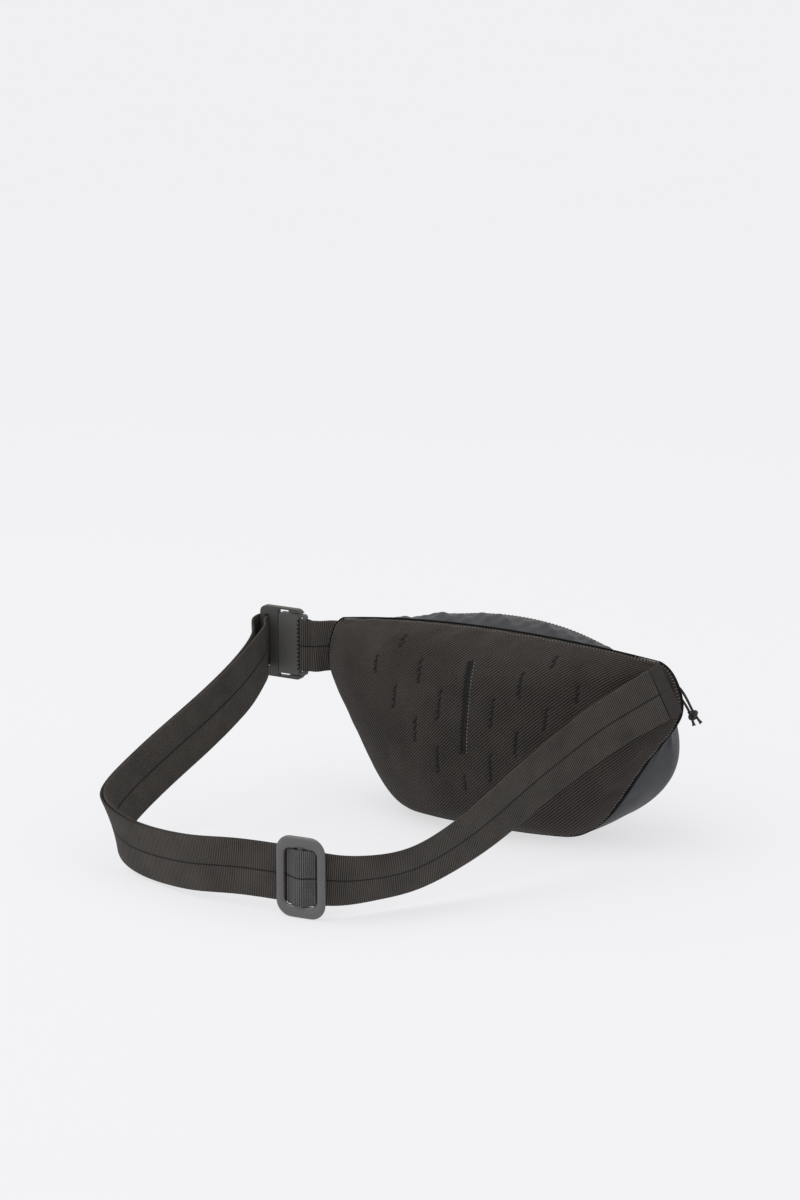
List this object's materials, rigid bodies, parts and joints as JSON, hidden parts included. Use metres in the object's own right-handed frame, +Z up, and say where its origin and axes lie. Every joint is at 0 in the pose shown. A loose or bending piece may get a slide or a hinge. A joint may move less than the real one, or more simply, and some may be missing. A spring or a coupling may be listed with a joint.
{
  "type": "waist bag",
  "caption": "Padded waist bag with a looped webbing belt, a sliding strap adjuster, a hook and pin buckle and a curved top zipper with a cord pull.",
  "frame": {"origin": "centre of the flat patch on the shell's underside that the bag rests on", "axes": "+Z up, +X along the bag to the end where the belt is sewn on, -Y towards the wearer"},
  "size_m": [0.3503, 0.3077, 0.1502],
  "materials": {
    "panel_knit": "coarse twill spacer knit",
    "foam": "soft closed-cell foam",
    "lining": "thin woven lining",
    "shell_nylon": "coated nylon, satin",
    "binding": "plain woven tape",
    "zipper_tape": "woven zipper tape",
    "zipper_coil": "nylon coil",
    "zipper_metal": "dark coated metal",
    "cord": "braided cord",
    "webbing": "ribbed belt webbing",
    "webbing_end": "folded webbing end, pressed smooth",
    "adjuster_plastic": "satin moulded plastic",
    "buckle_plastic": "matt moulded plastic",
    "magnet": "plated magnet"
  },
  "bodies": {
    "bag": {"back_panel_fabric": "panel_knit", "back_panel_foam": "foam", "back_panel_lining": "lining", "front_shell": "shell_nylon", "front_shell_lining": "lining", "top_panel": "shell_nylon", "top_panel_lining": "lining", "end_tab_right": "shell_nylon", "end_tab_left": "shell_nylon", "seam_binding": "binding", "zipper_tape_front": "zipper_tape", "zipper_tape_back": "zipper_tape", "zipper_coil_front": "zipper_coil", "zipper_coil_back": "zipper_coil", "zipper_end_stops": "zipper_metal", "webbing_main": "webbing", "webbing_return": "webbing", "webbing_hook_turn": "webbing", "webbing_anchor_end": "webbing_end", "hook_frame": "buckle_plastic", "hook_magnet": "magnet", "short_webbing": "webbing"},
    "zip_slider": {"slider_body": "zipper_metal"},
    "zip_pull": {"puller_loop": "zipper_metal", "pull_cord": "cord", "pull_cord_knot": "cord"},
    "adjuster": {"adjuster_frame": "adjuster_plastic", "adjuster_webbing": "webbing"},
    "buckle_plate_unit": {"buckle_plate": "buckle_plastic", "plate_magnet": "magnet", "short_webbing_loop": "webbing"}
  },
  "joints": [
    {"name": "zip_travel", "type": "hinge", "parent": "bag", "child": "zip_slider", "pos_m": [0, -0.1111, -0.0443], "axis": [0, -0.806, 0.592], "range_deg": [0, 62]},
    {"name": "pull_swing", "type": "hinge", "parent": "zip_slider", "child": "zip_pull", "pos_m": [0.11985, 0.00698, 0.11647], "axis": [0, -0.806, 0.592], "range_deg": [0, 100]},
    {"name": "adjuster_slide", "type": "slide", "parent": "bag", "child": "adjuster", "axis": [-0.9968, -0.0797, 0], "range_m": [-0.006, 0.028]},
    {"name": "buckle_swing", "type": "hinge", "parent": "bag", "child": "buckle_plate_unit", "pos_m": [-0.168, -0.007, 0.11], "axis": [0, 0, -1], "range_deg": [0, 30]}
  ]
}
